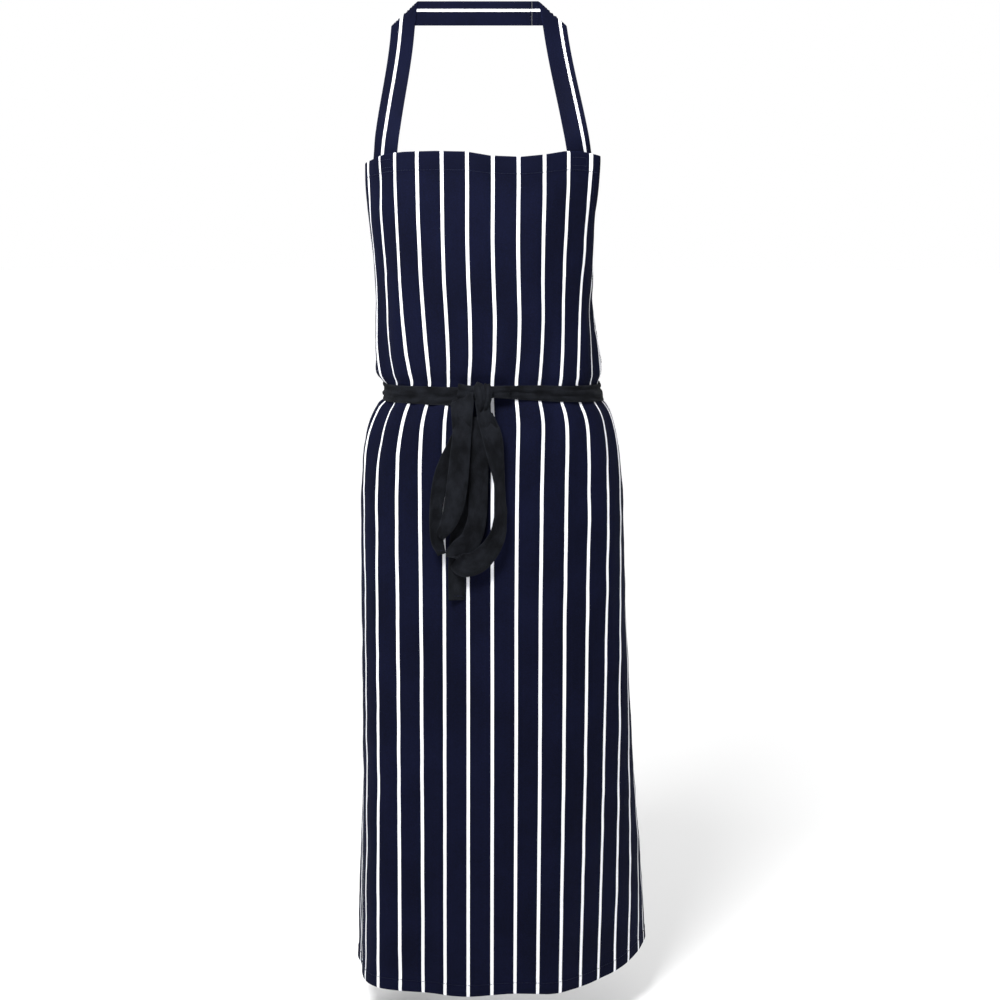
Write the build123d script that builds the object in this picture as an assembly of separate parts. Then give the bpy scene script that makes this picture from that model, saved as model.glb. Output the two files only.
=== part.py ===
from build123d import *
import os
from math import cos, pi, sin, sqrt

# Butcher's apron, in the shape it takes when it is worn and tied at the front.
# Millimetres. +X is the viewer's right, +Y away from the viewer, +Z up.
# The origin is the middle of the nape bar, where the neck strap hangs.
# "drop" is a distance down the cloth from the top edge of the bib.
# "arc" is a distance across the cloth, round the body, from the front mid-line.

# ---------------------------------------------------------------- driving sizes
CLOTH = 1.0  # drawn thickness of the cloth
TAPE = 1.2  # drawn thickness of the folded tapes
GAP = 0.5  # air between layers that lie on each other

BIB_TOP_Z = -161.0
BIB_TOP_WIDTH = 304.0
CUT_WIDTH = 700.0
CUT_LENGTH = 966.0
ARMHOLE_DROP = 276.0  # the armhole curves end here, at full width
FOLD_DROP = 289.0  # the skirt swings from this line, just under the tied waist
GATHERED_WIDTH = 620.0  # what the cut width spans once it is gathered in
GATHER_START = 100.0  # the drop where the gathers begin
GATHER_RELEASE = 250.0  # how far below the fold line the gathers have opened out again
CLOTH_SHIFT = -27.0  # the cloth sits a little to the viewer's left of the mid-line

TOP_HEM = 20.0
SIDE_HEM = 10.0
BOTTOM_HEM = 15.0
THREAD = 1.2  # drawn width of a line of stitching
THREAD_HEIGHT = 0.6
THREAD_LIFT = 0.1  # air under a line of stitching that lies on a tape
CLOTH_THREAD_LIFT = 0.35  # air under a line of stitching that lies on the curved cloth
ARMHOLE_SEAM_END = 250.0  # the armhole's stitching stops here, above the tie
SEAM_END_GAP = 2.0  # bare cloth between the end of a seam and the next edge
BARTACK_DROPS = (6.0, 14.0)
BARTACK_INSET = 2.0
TIE_BARTACK_GAP = 1.5  # between the tie's lower edge and its stitching
TIE_BARTACK_INSET = 4.0

STRAP_WIDTH = 27.0
STRAP_FOOT_ARCS = {-1: -118.0, 1: 101.0}
NAPE_HALF_LEFT = 115.0
NAPE_HALF_RIGHT = 90.0
SEWN_END = 17.0
NAPE_SEAM_X = (46.0, 50.0)
NAPE_SEAM_INSET = 3.0
STRAP_FOOT_GAP = 5.0  # the legs start this far above the bib, which leaves room to swing

TIE_WIDTH = 21.0
TIE_DROP = 260.0
TIE_SEWN = 35.0
BOW_TAPE = 21.0

# ------------------------------------------------------------- the wearer's form
# Each horizontal section is a squarish oval. Half-widths change with the drop.
FORM_CENTRE_Y = -58.0
FORM_POWER = 2.5
FORM_LEVELS = (
    # drop, half-width left, half-width right, half-depth
    (-10.0, 138.0, 132.0, 88.0),
    (60.0, 138.0, 130.0, 91.0),
    (130.0, 133.0, 124.0, 91.0),
    (200.0, 127.0, 121.0, 88.0),
    (245.0, 125.0, 126.0, 85.0),
    (262.0, 124.0, 127.0, 84.0),
    (289.0, 135.0, 137.0, 88.0),
    (336.0, 146.0, 148.0, 92.0),
    (380.0, 152.0, 154.0, 94.0),
    (540.0, 153.0, 160.0, 95.0),
    (730.0, 156.0, 172.0, 97.0),
    (980.0, 160.0, 190.0, 100.0),
)
FORM_SAMPLES = 720
SLOPE_REACH = 4.0  # directions on the form are taken over this much arc to each side


def form_sizes(drop):
    """Half-width left, half-width right and half-depth of the form at a drop."""
    for low, high in zip(FORM_LEVELS, FORM_LEVELS[1:]):
        if drop <= high[0]:
            part = max(0.0, (drop - low[0]) / (high[0] - low[0]))
            ease = part * part * (3 - 2 * part)
            return [a + (b - a) * ease for a, b in zip(low[1:], high[1:])]
    return list(FORM_LEVELS[-1][1:])


class Section:
    """One horizontal oval of the form, with points found by their arc from the front."""

    def __init__(self, drop):
        left, right, depth = form_sizes(drop)
        self.points = []
        for i in range(FORM_SAMPLES + 1):
            turn = -pi + 2 * pi * i / FORM_SAMPLES
            half = right if turn > 0 else left
            x = half * abs(sin(turn)) ** (2 / FORM_POWER)
            y = depth * abs(cos(turn)) ** (2 / FORM_POWER)
            x = x if turn > 0 else -x
            y = -y if abs(turn) < pi / 2 else y
            self.points.append((x, FORM_CENTRE_Y + y))
        self.arcs = [0.0]
        for a, b in zip(self.points, self.points[1:]):
            self.arcs.append(self.arcs[-1] + sqrt((b[0] - a[0]) ** 2 + (b[1] - a[1]) ** 2))
        self.round = self.arcs[-1]
        front = self.arcs[FORM_SAMPLES // 2]
        self.arcs = [arc - front for arc in self.arcs]

    def spot(self, arc):
        """The point on the oval at an arc, which may run past the back."""
        while arc < self.arcs[0]:
            arc += self.round
        while arc > self.arcs[-1]:
            arc -= self.round
        low, high = 0, FORM_SAMPLES
        while high - low > 1:
            middle = (low + high) // 2
            if self.arcs[middle] <= arc:
                low = middle
            else:
                high = middle
        part = (arc - self.arcs[low]) / (self.arcs[high] - self.arcs[low])
        a, b = self.points[low], self.points[high]
        return a[0] + (b[0] - a[0]) * part, a[1] + (b[1] - a[1]) * part

    def place(self, arc, out):
        """The point at an arc and its outward direction, moved out from the oval."""
        x0, y0 = self.spot(arc - SLOPE_REACH)
        x1, y1 = self.spot(arc + SLOPE_REACH)
        x, y = self.spot(arc)
        run = sqrt((x1 - x0) ** 2 + (y1 - y0) ** 2)
        nx, ny = (y1 - y0) / run, -(x1 - x0) / run
        return x + nx * out, y + ny * out


def shell(drops, arc_low, arc_high, inner, outer, count=25):
    """A thin closed shell round the form, lofted down through the given drops.

    arc_low and arc_high give the two side edges at a drop; inner and outer are the
    distances of its two faces from the form.
    """
    faces = []
    for drop in drops:
        section = Section(drop)
        z = BIB_TOP_Z - drop
        low, high = arc_low(drop), arc_high(drop)
        arcs = [low + (high - low) * i / (count - 1) for i in range(count)]
        outside = [Vector(*section.place(arc, outer), z) for arc in arcs]
        inside = [Vector(*section.place(arc, inner), z) for arc in reversed(arcs)]
        edges = [
            Edge.make_spline(outside),
            Edge.make_line(outside[-1], inside[0]),
            Edge.make_spline(inside),
            Edge.make_line(inside[-1], outside[0]),
        ]
        faces.append(Face(Wire(edges)))
    return loft(faces, ruled=True)


def flat(value):
    """An edge that stays at one arc."""
    return lambda drop: value


# ------------------------------------------------------------------- the panel
def half_cut(drop):
    """Half the width of the flat cut: the bib, the armhole curves, then full width."""
    if drop >= ARMHOLE_DROP:
        return CUT_WIDTH / 2
    rise = CUT_WIDTH / 2 - BIB_TOP_WIDTH / 2
    return CUT_WIDTH / 2 - rise * sqrt(1 - (drop / ARMHOLE_DROP) ** 2)


def half_worn(drop):
    """Half the width as worn, where gathers at the waist take some of it up."""
    eased = min(1.0, max(0.0, (drop - GATHER_START) / (ARMHOLE_DROP - GATHER_START)))
    slack = (CUT_WIDTH - GATHERED_WIDTH) / 2 * eased * eased
    return half_cut(drop) - slack


def left_edge(drop):
    return CLOTH_SHIFT - half_worn(drop)


def right_edge(drop):
    return CLOTH_SHIFT + half_worn(drop)


def skirt_left(drop):
    return CLOTH_SHIFT - CUT_WIDTH / 2 + skirt_slack(drop)


def skirt_right(drop):
    return CLOTH_SHIFT + CUT_WIDTH / 2 - skirt_slack(drop)


def skirt_slack(drop):
    """The gathers open out again over the first part of the skirt."""
    eased = max(0.0, 1 - (drop - FOLD_DROP) / GATHER_RELEASE)
    return (CUT_WIDTH - GATHERED_WIDTH) / 2 * eased


BIB_LEVELS = [0, 30, 65, 100, 130, 160, 185, 205, 225, 240, 252, 262, 269, 274, 276]


def bib_panel():
    """The upper part of the one cloth panel, down to just above the swing line."""
    return shell(BIB_LEVELS + [FOLD_DROP - GAP], left_edge, right_edge, 0, CLOTH)


SKIRT_LEVELS = [FOLD_DROP, 300, 312, 324, 336, 350, 365, 400, 470, 540, 640, 730, 850, CUT_LENGTH]


def skirt_panel():
    """The lower part of the same panel, from the swing line to the bottom hem."""
    return shell(SKIRT_LEVELS, skirt_left, skirt_right, 0, CLOTH)


# ------------------------------------------------------------------ stitching
SEAM_IN = CLOTH + CLOTH_THREAD_LIFT
SEAM_OUT = SEAM_IN + THREAD_HEIGHT


def cross_seam(drop, low, high):
    """A straight line of stitching across the cloth."""
    return shell([drop - THREAD / 2, drop + THREAD / 2], flat(low), flat(high), SEAM_IN, SEAM_OUT)


def edge_seam(drops, edge, inward):
    """A line of stitching that follows a side edge, a hem's width inside it."""
    centre = inward * SIDE_HEM
    return shell(
        drops,
        lambda drop: edge(drop) + centre - THREAD / 2,
        lambda drop: edge(drop) + centre + THREAD / 2,
        SEAM_IN,
        SEAM_OUT,
        3,
    )


def armhole_seam(edge, inward):
    """The armhole's stitching stays a hem's width inside the curved edge."""
    drops = [level for level in BIB_LEVELS if TOP_HEM < level < ARMHOLE_SEAM_END]
    return edge_seam(drops, edge, inward)


def side_seam(edge, inward):
    """A side edge's stitching ends just above the bottom hem's."""
    drops = [*SKIRT_LEVELS[1:-1], CUT_LENGTH - BOTTOM_HEM - SEAM_END_GAP]
    return edge_seam(drops, edge, inward)


# ------------------------------------------------------------------ neck strap
def strap_foot(side):
    """Where a strap leg meets the top edge of the bib, behind the cloth."""
    return Section(0).place(STRAP_FOOT_ARCS[side], -GAP - TAPE / 2)


def across_at(section, arc):
    """The direction of the cloth across the form, at an arc."""
    x0, y0 = section.spot(arc - SLOPE_REACH)
    x1, y1 = section.spot(arc + SLOPE_REACH)
    return Vector(x1 - x0, y1 - y0, 0).normalized()


def ribbon(centres, acrosses, width, thickness):
    """A tape lofted through rectangles set square to its path."""
    faces = []
    for i, (centre, across) in enumerate(zip(centres, acrosses)):
        before = centres[max(0, i - 1)]
        after = centres[min(len(centres) - 1, i + 1)]
        along = (after - before).normalized()
        up = along.cross(across).normalized()
        a = across * (width / 2)
        b = up * (thickness / 2)
        corners = [centre - a - b, centre + a - b, centre + a + b, centre - a + b]
        faces.append(Face(Wire.make_polygon(corners, close=True)))
    return loft(faces, ruled=True)


STRAP_STEPS = 9
BAR_BOTTOM = -STRAP_WIDTH / 2


def strap_leg(side):
    """One leg, from the bib up over the shoulder to the nape, leaning back on the way."""
    foot_x, foot_y = strap_foot(side)
    start = across_at(Section(0), STRAP_FOOT_ARCS[side])
    half = NAPE_HALF_LEFT if side < 0 else NAPE_HALF_RIGHT
    head_x = side * (half - STRAP_WIDTH / 2)
    centres, acrosses = [], []
    foot_z = BIB_TOP_Z + STRAP_FOOT_GAP
    for i in range(STRAP_STEPS):
        part = i / (STRAP_STEPS - 1)
        ease = part * part * (3 - 2 * part)
        x = foot_x + (head_x - foot_x) * part
        y = foot_y * (1 - ease)
        z = foot_z + (BAR_BOTTOM - foot_z) * part
        centres.append(Vector(x, y, z))
        acrosses.append((start * (1 - ease) + Vector(1, 0, 0) * ease).normalized())
    acrosses[-1] = Vector(1, 0, 0)
    return ribbon(centres, acrosses, STRAP_WIDTH, TAPE)


def neck_strap():
    """Two legs and the nape bar between them, folded at 45 degrees at its corners."""
    half_width = STRAP_WIDTH / 2
    outline = Wire.make_polygon(
        [
            Vector(-NAPE_HALF_LEFT, 0, -half_width),
            Vector(NAPE_HALF_RIGHT, 0, -half_width),
            Vector(NAPE_HALF_RIGHT - STRAP_WIDTH, 0, half_width),
            Vector(STRAP_WIDTH - NAPE_HALF_LEFT, 0, half_width),
        ],
        close=True,
    )
    bar = extrude(Face(outline), amount=TAPE / 2, dir=(0, 1, 0), both=True)
    return bar + strap_leg(-1) + strap_leg(1)


def strap_end(side):
    """The sewn end of the strap, flat behind the top hem."""
    arc = STRAP_FOOT_ARCS[side]
    low, high = arc - STRAP_WIDTH / 2, arc + STRAP_WIDTH / 2
    return shell([GAP, SEWN_END / 2, SEWN_END], flat(low), flat(high), -GAP - TAPE, -GAP, 5)


def strap_bartack(side):
    """The two rows of stitching that hold a strap end, seen on the hem's front."""
    reach = STRAP_WIDTH / 2 - BARTACK_INSET
    low, high = STRAP_FOOT_ARCS[side] - reach, STRAP_FOOT_ARCS[side] + reach
    upper, lower = (cross_seam(drop, low, high) for drop in BARTACK_DROPS)
    return upper + lower


def neck_strap_seam():
    """Two short lines of stitching where the strap is joined, right of the nape."""
    line = Box(THREAD, THREAD_HEIGHT, STRAP_WIDTH - 2 * NAPE_SEAM_INSET)
    y = -TAPE / 2 - THREAD_LIFT - THREAD_HEIGHT / 2
    first, second = (Pos(x, y, 0) * line for x in NAPE_SEAM_X)
    return first + second


# ------------------------------------------------------------------ waist ties
TIE_LEVELS = [TIE_DROP - TIE_WIDTH / 2, TIE_DROP, TIE_DROP + TIE_WIDTH / 2]
UNDER_TIE = CLOTH + GAP
OVER_TIE = UNDER_TIE + TAPE + GAP
KNOT_X = -10.0
KNOT_WIDTH = 20.0
ROUND = Section(TIE_DROP).round


def waist_tie(side):
    """One tie: sewn to its side corner, round the back and on to the front knot.

    The left tie passes over the right one where the two cross at the back.
    """
    inner = OVER_TIE if side < 0 else UNDER_TIE
    corner = CLOTH_SHIFT + side * GATHERED_WIDTH / 2
    start = corner - side * TIE_SEWN
    knot = KNOT_X - side * (KNOT_WIDTH / 2 + GAP)
    end = knot + side * ROUND
    low, high = min(start, end), max(start, end)
    return shell(TIE_LEVELS, flat(low), flat(high), inner, inner + TAPE, 41)


def tie_bartack(side):
    """Stitching that holds a tie to its side corner, just below the tape."""
    corner = CLOTH_SHIFT + side * GATHERED_WIDTH / 2
    low, high = sorted((corner - side * TIE_BARTACK_INSET, corner - side * TIE_SEWN))
    return cross_seam(TIE_DROP + TIE_WIDTH / 2 + TIE_BARTACK_GAP, low, high)


# ------------------------------------------------------------------------ bow
# The bow's loose pieces hang from the swing line, just under the knot, in layers:
# the two tails lie next to the cloth and the loops lie in front of them.
SWING_Z = BIB_TOP_Z - FOLD_DROP - 1.0
BOW_TOP_Z = SWING_Z + 3.0
TAIL_TOP_Z = SWING_Z - 4.0
TAIL_RIGHT_Y = -155.4
TAIL_RIGHT_END = (-38.0, -656.0)
TAIL_LEFT_END = (-52.0, -584.0)
TAIL_HEM = 5.0
TAIL_LEFT_Y = TAIL_RIGHT_Y - TAPE - GAP
LOOP_BACK_Y = TAIL_LEFT_Y - TAPE - GAP
LOOP_FRONT_Y = LOOP_BACK_Y - 6.0
KNOT_HEIGHT = 32.0
KNOT_DEPTH = 11.0
KNOT_Y = -155.7
KNOT_ABOVE_SWING = 6.0
KNOT_Z = SWING_Z + KNOT_ABOVE_SWING + KNOT_HEIGHT / 2
KNOT_ROUNDING = 4.5
LEFT_LOOP_X = -32.0
LEFT_LOOP_LENGTH = 141.0
LEFT_LOOP_SLANT = 6.0
RIGHT_LOOP_DEPTH = 8.0


def bow_knot():
    """The small tight knot in front of the waist."""
    block = Box(KNOT_WIDTH, KNOT_DEPTH, KNOT_HEIGHT)
    return Pos(KNOT_X, KNOT_Y, KNOT_Z) * fillet(block.edges(), KNOT_ROUNDING)


def tape_along(points, across, width, steps):
    """A tape that follows a smooth curve through points, its width along across."""
    path = Edge.make_spline([Vector(*point) for point in points])
    centres = [path.position_at(i / (steps - 1)) for i in range(steps)]
    return ribbon(centres, [across] * steps, width, TAPE)


def tie_tail_right():
    """The tail that shows below the bow."""
    y = TAIL_RIGHT_Y
    end_x, end_z = TAIL_RIGHT_END
    points = [(-16, y, TAIL_TOP_Z), (-28, y, -510), (-37, y, -570), (-38, y, -615), (end_x, y, end_z)]
    return tape_along(points, Vector(1, 0, 0), BOW_TAPE, 9)


def tie_tail_left():
    """The tail that hangs behind the left loop."""
    y = TAIL_LEFT_Y
    end_x, end_z = TAIL_LEFT_END
    points = [(-18, y, TAIL_TOP_Z), (-34, y, -505), (-47, y, -550), (end_x, y, end_z)]
    return tape_along(points, Vector(1, 0, 0), BOW_TAPE, 9)


def bow_loop_left():
    """The loop that hangs flat: down in front, round the fold and up behind."""
    depth = LOOP_BACK_Y - LOOP_FRONT_Y + TAPE
    outside = SlotOverall(LEFT_LOOP_LENGTH, depth)
    band = outside - SlotOverall(LEFT_LOOP_LENGTH - 2 * TAPE, depth - 2 * TAPE)
    upright = Plane.YZ * Rot(0, 0, 90) * extrude(band, amount=BOW_TAPE / 2, both=True)
    middle_y = (LOOP_FRONT_Y + LOOP_BACK_Y) / 2
    hung = Pos(0, 0, -LEFT_LOOP_LENGTH / 2) * upright
    return Pos(LEFT_LOOP_X, middle_y, BOW_TOP_Z) * Rot(0, LEFT_LOOP_SLANT, 0) * hung


def bow_loop_right():
    """The loop that stands open: out to the right, round the bottom and back up."""
    y = LOOP_BACK_Y + TAPE / 2 - RIGHT_LOOP_DEPTH / 2
    points = [
        (-6, y, BOW_TOP_Z),
        (3, y, -500),
        (14, y, -548),
        (15, y, -585),
        (2, y, -609),
        (-20, y, -620),
        (-40, y, -614),
        (-40, y, -603),
        (-22, y, -598),
        (-15, y, -582),
        (-15, y, -530),
        (-13, y, BOW_TOP_Z),
    ]
    return tape_along(points, Vector(0, 1, 0), RIGHT_LOOP_DEPTH, 49)


def tail_seam(end, y):
    """The stitched hem across a tail's end."""
    x, bottom = end
    place = Pos(x, y - TAPE / 2 - THREAD_LIFT - THREAD_HEIGHT / 4, bottom + TAIL_HEM)
    return place * Box(BOW_TAPE - 2 * THREAD, THREAD_HEIGHT / 2, THREAD)


# ---------------------------------------------------------------- the parts list
BIB_INNER = half_worn(TOP_HEM) - SIDE_HEM - SEAM_END_GAP
SKIRT_INNER = CUT_WIDTH / 2 - SIDE_HEM - SEAM_END_GAP

PARTS = {
    "bib_panel": bib_panel(),
    "skirt_panel": skirt_panel(),
    "neck_strap": neck_strap(),
    "strap_end_left": strap_end(-1),
    "strap_end_right": strap_end(1),
    "waist_tie_left": waist_tie(-1),
    "waist_tie_right": waist_tie(1),
    "bow_knot": bow_knot(),
    "bow_loop_left": bow_loop_left(),
    "bow_loop_right": bow_loop_right(),
    "tie_tail_left": tie_tail_left(),
    "tie_tail_right": tie_tail_right(),
    "top_hem_seam": cross_seam(TOP_HEM, CLOTH_SHIFT - BIB_INNER, CLOTH_SHIFT + BIB_INNER),
    "bottom_hem_seam": cross_seam(
        CUT_LENGTH - BOTTOM_HEM, CLOTH_SHIFT - SKIRT_INNER, CLOTH_SHIFT + SKIRT_INNER
    ),
    "armhole_seam_left": armhole_seam(left_edge, 1),
    "armhole_seam_right": armhole_seam(right_edge, -1),
    "side_seam_left": side_seam(skirt_left, 1),
    "side_seam_right": side_seam(skirt_right, -1),
    "neck_strap_seam": neck_strap_seam(),
    "strap_bartack_left": strap_bartack(-1),
    "strap_bartack_right": strap_bartack(1),
    "tie_bartack_left": tie_bartack(-1),
    "tie_bartack_right": tie_bartack(1),
    "tail_seam_left": tail_seam(TAIL_LEFT_END, TAIL_LEFT_Y),
    "tail_seam_right": tail_seam(TAIL_RIGHT_END, TAIL_RIGHT_Y),
}

os.makedirs("parts", exist_ok=True)
for name, part in PARTS.items():
    export_step(part, f"parts/{name}.step")
    box = part.bounding_box()
    print(f"{name:22} {part.volume:10.0f} mm3  {box.min} {box.max}")
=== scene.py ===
import math

import bpy
import numpy as np
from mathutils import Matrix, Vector


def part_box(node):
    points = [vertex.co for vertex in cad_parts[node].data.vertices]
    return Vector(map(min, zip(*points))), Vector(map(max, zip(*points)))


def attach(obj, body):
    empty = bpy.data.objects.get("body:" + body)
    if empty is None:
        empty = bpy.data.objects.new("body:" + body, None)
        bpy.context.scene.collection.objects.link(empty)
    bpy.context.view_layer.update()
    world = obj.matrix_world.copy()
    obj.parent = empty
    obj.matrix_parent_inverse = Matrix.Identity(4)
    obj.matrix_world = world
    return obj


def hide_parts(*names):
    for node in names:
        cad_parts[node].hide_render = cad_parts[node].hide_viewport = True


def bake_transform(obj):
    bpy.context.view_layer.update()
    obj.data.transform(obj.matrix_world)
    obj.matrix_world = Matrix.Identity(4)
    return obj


# The looks of a butcher's apron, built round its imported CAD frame.
# Lengths are in millimetres and MM turns them into Blender's metres.
# "drop" or v is a distance down the cloth from the bib's top edge, u is a distance
# across the flat cut from its middle, and "arc" is a distance round the wearer's form
# from the front mid-line. "out" is a distance out from the form.
MM = 0.001

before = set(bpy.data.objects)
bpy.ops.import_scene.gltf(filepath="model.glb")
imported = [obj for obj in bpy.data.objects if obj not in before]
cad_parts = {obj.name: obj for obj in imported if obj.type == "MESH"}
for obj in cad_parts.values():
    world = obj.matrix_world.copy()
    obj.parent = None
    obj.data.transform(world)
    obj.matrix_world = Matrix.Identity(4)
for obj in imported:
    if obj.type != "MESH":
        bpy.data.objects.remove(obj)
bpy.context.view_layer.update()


# ---------------------------------------------------------------- sizes from the frame
def corner_mm(node, side):
    return np.array(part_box(node)[side]) / MM


BIB_TOP_Z = corner_mm("bib_panel", 1)[2]
HEM_Z = corner_mm("skirt_panel", 0)[2]
CUT_LENGTH = BIB_TOP_Z - HEM_Z
TIE_DROP = BIB_TOP_Z - (corner_mm("waist_tie_left", 0)[2] + corner_mm("waist_tie_left", 1)[2]) / 2
KNOT_LOW, KNOT_HIGH = corner_mm("bow_knot", 0), corner_mm("bow_knot", 1)
SWING_Z = corner_mm("skirt_panel", 1)[2] - 1.0

# ------------------------------------------------------------------------- the flat cut
HALF_CUT = 350.0
HALF_BIB = 152.0
ARMHOLE_DROP = 276.0
STRIPE_PITCH = 28.0
STRIPE_HALF = 1.9
STRAP_STRIPE_HALF = 1.55
TOP_HEM = 20.0
SIDE_HEM = 10.0
BOTTOM_HEM = 15.0
HALF_CLOTH = 0.35

# ------------------------------------------------------------------ the wearer's form
FORM_CENTRE_Y = -58.0
FORM_POWER = 2.5
FORM_LEVELS = np.array([
    # drop, half-width left, half-width right, half-depth
    (-20, 139, 127, 88),
    (60, 138, 124, 91),
    (130, 130, 117.5, 91),
    (185, 128, 118.5, 89),
    (225, 124, 121.5, 87),
    (245, 125, 124.5, 85),
    (264, 117.5, 122, 84),
    (277, 122, 129, 86),
    (291, 130, 136.5, 88),
    (312, 138.5, 143, 90),
    (336, 145, 148, 92),
    (380, 151, 154, 94),
    (540, 153, 159, 95),
    (730, 154, 170, 97),
    (850, 158, 180, 99),
    (990, 161, 188, 100),
], float)
FORM_SOFTNESS = 7.0


def smoothed(levels, step, softness):
    """A table of levels, filled in at even steps and rounded off. Returns steps, columns."""
    steps = np.arange(levels[0, 0], levels[-1, 0] + step, step)
    reach = int(4 * softness / step)
    kernel = np.exp(-0.5 * (np.arange(-reach, reach + 1) * step / softness) ** 2)
    kernel /= kernel.sum()
    columns = []
    for column in levels.T[1:]:
        raw = np.interp(steps, levels[:, 0], column)
        columns.append(np.convolve(np.pad(raw, reach, mode="edge"), kernel, mode="valid"))
    return steps, np.array(columns)


DROP_STEP = 2.0
ARC_STEP = 2.0
ARC_REACH = 760.0
ARCS = np.arange(-ARC_REACH, ARC_REACH + ARC_STEP, ARC_STEP)
DROPS, FORM_SIZES = smoothed(FORM_LEVELS, DROP_STEP, FORM_SOFTNESS)


def oval(left, right, depth, samples=1081):
    """Points of one squarish oval from the back round the front, with their arcs."""
    turn = np.linspace(-math.pi, math.pi, samples)
    half = np.where(turn > 0, right, left)
    power = 2 / FORM_POWER
    x = np.sign(turn) * half * np.abs(np.sin(turn)) ** power
    y = FORM_CENTRE_Y - np.sign(np.cos(turn)) * depth * np.abs(np.cos(turn)) ** power
    arc = np.concatenate([[0], np.cumsum(np.hypot(np.diff(x), np.diff(y)))])
    return x, y, arc - arc[samples // 2], arc[-1]


def form_tables():
    """x, y and outward direction of the form on a grid of drops and arcs."""
    xs, ys, rounds = [], [], []
    for left, right, depth in FORM_SIZES.T:
        x, y, arc, whole = oval(left, right, depth)
        wrapped = (ARCS + whole / 2) % whole - whole / 2
        xs.append(np.interp(wrapped, arc, x))
        ys.append(np.interp(wrapped, arc, y))
        rounds.append(whole)
    xs, ys = np.array(xs), np.array(ys)
    dx, dy = np.gradient(xs, axis=1), np.gradient(ys, axis=1)
    run = np.hypot(dx, dy) + 1e-9
    return xs, ys, dy / run, -dx / run, np.array(rounds)


FORM_X, FORM_Y, OUT_X, OUT_Y, ROUNDS = form_tables()


def look_up(table, rows, row_step, columns, column_step):
    """Bilinear reading of a table at fractional places."""
    r = np.clip(rows / row_step, 0, table.shape[0] - 1.001)
    c = np.clip(columns / column_step, 0, table.shape[1] - 1.001)
    r0, c0 = r.astype(int), c.astype(int)
    fr, fc = r - r0, c - c0
    top = table[r0, c0] * (1 - fc) + table[r0, c0 + 1] * fc
    low = table[r0 + 1, c0] * (1 - fc) + table[r0 + 1, c0 + 1] * fc
    return top * (1 - fr) + low * fr


def round_at(drop):
    return float(np.interp(drop, DROPS, ROUNDS))


def on_form(drop, arc, out, z=None):
    """Points at a drop and an arc, moved out from the form."""
    drop, arc, out = np.broadcast_arrays(*(np.asarray(a, float) for a in (drop, arc, out)))
    place = (drop - DROPS[0], DROP_STEP, arc - ARCS[0], ARC_STEP)
    x = look_up(FORM_X, *place) + look_up(OUT_X, *place) * out
    y = look_up(FORM_Y, *place) + look_up(OUT_Y, *place) * out
    return np.stack([x, y, BIB_TOP_Z - drop if z is None else z], axis=-1)


# --------------------------------------------------------------------- the worn cloth
def ease(value, low, high):
    """0 before low, 1 after high, smooth between. Low may be the larger."""
    part = np.clip((value - low) / (high - low), 0, 1)
    return part * part * (3 - 2 * part)


def bump(value, low, top_low, top_high, high):
    """Rises between low and top_low, falls between top_high and high."""
    return ease(value, low, top_low) * ease(value, high, top_high)


# How much the cloth is gathered across: 1 is flat. After the drop, the columns are
# for the u of SQUEEZE_U.
SQUEEZE_U = (-350, -140, -112, -84, -30, 30, 115, 200, 350)
SQUEEZE_LEVELS = np.array([
    (-10, 0.96, 1.04, 0.70, 0.96, 1.00, 1.00, 1.04, 1.00, 1.00),
    (36, 0.94, 1.02, 0.70, 0.98, 1.00, 1.00, 1.05, 1.00, 1.00),
    (92, 0.92, 0.92, 0.92, 0.93, 0.97, 1.00, 1.00, 0.94, 0.98),
    (135, 0.95, 0.96, 0.96, 0.94, 0.96, 1.00, 0.94, 0.84, 0.92),
    (179, 0.96, 0.96, 0.96, 0.94, 0.93, 1.00, 0.84, 0.74, 0.88),
    (224, 0.93, 0.95, 0.93, 0.93, 0.84, 0.97, 0.82, 0.74, 0.86),
    (246, 0.84, 0.80, 0.80, 0.80, 0.75, 0.98, 0.82, 0.76, 0.84),
    (270, 0.84, 0.80, 0.80, 0.80, 0.80, 0.98, 0.86, 0.80, 0.84),
    (292, 0.90, 0.90, 0.87, 0.87, 0.92, 1.02, 0.95, 0.92, 0.90),
    (335, 0.96, 1.00, 1.00, 1.00, 0.97, 0.99, 1.00, 0.98, 0.97),
    (400, 0.99, 1.04, 1.03, 1.03, 0.97, 0.98, 1.02, 1.00, 0.98),
    (520, 1.00, 1.03, 1.01, 1.01, 0.97, 0.97, 1.00, 0.98, 0.97),
    (700, 1.00, 1.00, 1.00, 1.00, 0.97, 0.98, 0.97, 0.79, 0.90),
    (990, 1.00, 1.00, 1.00, 1.00, 0.97, 0.98, 0.88, 0.71, 0.86),
], float)
SHIFT_LEVELS = np.array([
    (-10, -25), (36, -24.8), (92, -25), (135, -24), (179, -22), (224, -21.5), (246, -23.5),
    (300, -24.5), (380, -25), (600, -25), (990, -26),
], float)
U_STEP = 2.0
TABLE_U = np.arange(-HALF_CUT - 4, HALF_CUT + 4 + U_STEP, U_STEP)


def arc_table():
    """The arc of the cloth on a grid of drops and u."""
    drops, squeezes = smoothed(SQUEEZE_LEVELS, DROP_STEP, 9.0)
    shift = smoothed(SHIFT_LEVELS, DROP_STEP, 9.0)[1][0]
    middle = int(np.argmin(np.abs(TABLE_U)))
    rows = []
    for k in range(len(drops)):
        rate = np.interp(TABLE_U, SQUEEZE_U, squeezes[:, k])
        arc = np.concatenate([[0], np.cumsum((rate[1:] + rate[:-1]) / 2 * U_STEP)])
        rows.append(arc - arc[middle] + shift[k])
    return drops[0], np.array(rows)


ARC_TOP, ARC_TABLE = arc_table()


def arc_of(u, v):
    return look_up(ARC_TABLE, v - ARC_TOP, DROP_STEP, u - TABLE_U[0], U_STEP)


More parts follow.
